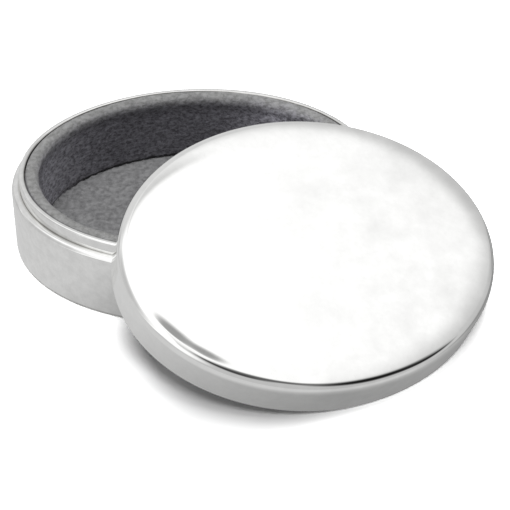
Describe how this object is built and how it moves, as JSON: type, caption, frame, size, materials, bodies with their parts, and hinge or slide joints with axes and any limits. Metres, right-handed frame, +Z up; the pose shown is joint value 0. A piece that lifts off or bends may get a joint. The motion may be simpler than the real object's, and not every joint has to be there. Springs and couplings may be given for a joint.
{
  "type": "trinket box",
  "caption": "Oval silver-plated trinket box with a grey velvet lining, shown open with its lid leaning on the rim.",
  "frame": {"origin": "middle of the base's underside, on the table", "axes": "+Z up, +X along the base's long axis, +Y along its short axis to the back, so that the lid leans at the front right (+X, -Y)"},
  "size_m": [0.1129, 0.1086, 0.037],
  "materials": {
    "silver_plate": "mirror polished",
    "velvet": "short grey nap",
    "felt": "matt felt",
    "card": "plain grey board",
    "wadding": "soft wadding"
  },
  "bodies": {
    "base": {"base_shell": "silver_plate", "rim_collar": "silver_plate", "base_felt": "felt", "wall_card": "card", "wall_velvet": "velvet", "floor_card": "card", "floor_velvet": "velvet"},
    "lid": {"lid_shell": "silver_plate", "lid_band": "silver_plate", "lid_velvet": "velvet", "lid_card": "card", "lid_wadding": "wadding"}
  },
  "joints": [
    {"name": "lid_lift", "type": "slide", "parent": "base", "child": "lid", "axis": [0, 0, 1], "range_m": [0, 0.08]}
  ]
}
